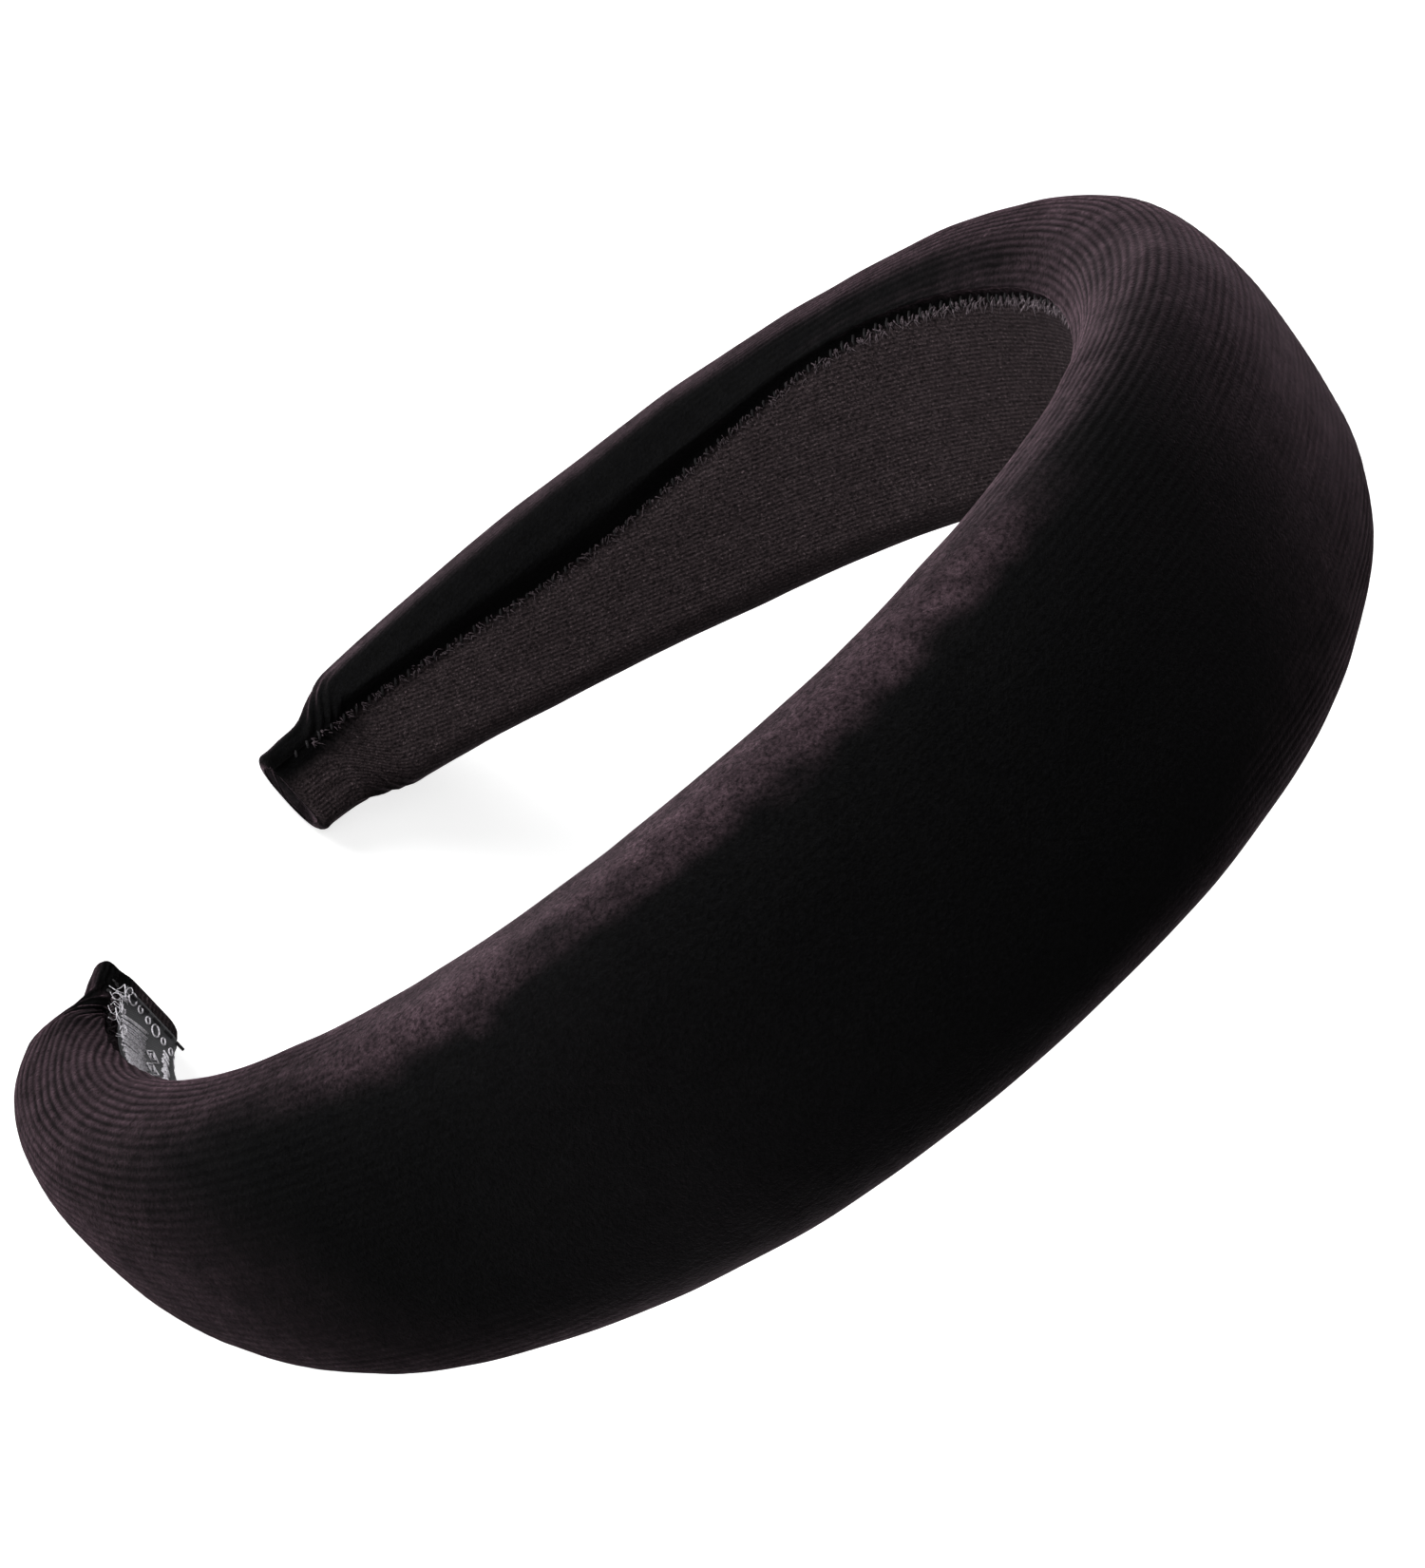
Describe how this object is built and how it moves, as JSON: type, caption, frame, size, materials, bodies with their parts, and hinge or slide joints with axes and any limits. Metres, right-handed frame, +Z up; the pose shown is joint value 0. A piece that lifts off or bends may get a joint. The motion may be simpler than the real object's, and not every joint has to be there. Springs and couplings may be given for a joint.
{
  "type": "padded headband",
  "caption": "Padded velvet hair band: a springy open hoop with a crowned foam pad, all in one sleeve of dark velvet with its seam inside the front rim, and narrow tips.",
  "frame": {"origin": "Centre of the crown arc, where the middle of the wearer's head lies, halfway across the band at the crown.", "axes": "+Z is up through the crown, +X is the wearer's left, +Y is the back of the head. The band lies roughly in the XZ plane."},
  "size_m": [0.1678, 0.0415, 0.1553],
  "materials": {
    "hoop_plastic": "plain black moulded strip",
    "dried_glue": "dried contact glue",
    "foam": "open-cell upholstery foam",
    "cover_velvet": "near-black velvet, brown-purple sheen where the pile turns",
    "tip_velvet": "the same near-black velvet, folded in and pressed flat",
    "sewing_thread": "twisted dark thread",
    "label_weave": "black satin-woven ribbon with a pale woven pattern"
  },
  "bodies": {
    "root": {"hoop_core": "hoop_plastic", "pad_adhesive": "dried_glue", "foam_pad": "foam", "velvet_cover": "cover_velvet", "cover_adhesive": "dried_glue", "seam_stitches": "sewing_thread", "left_tip_tuck": "tip_velvet", "right_tip_tuck": "tip_velvet", "woven_label": "label_weave", "label_stitches": "sewing_thread"}
  },
  "joints": []
}
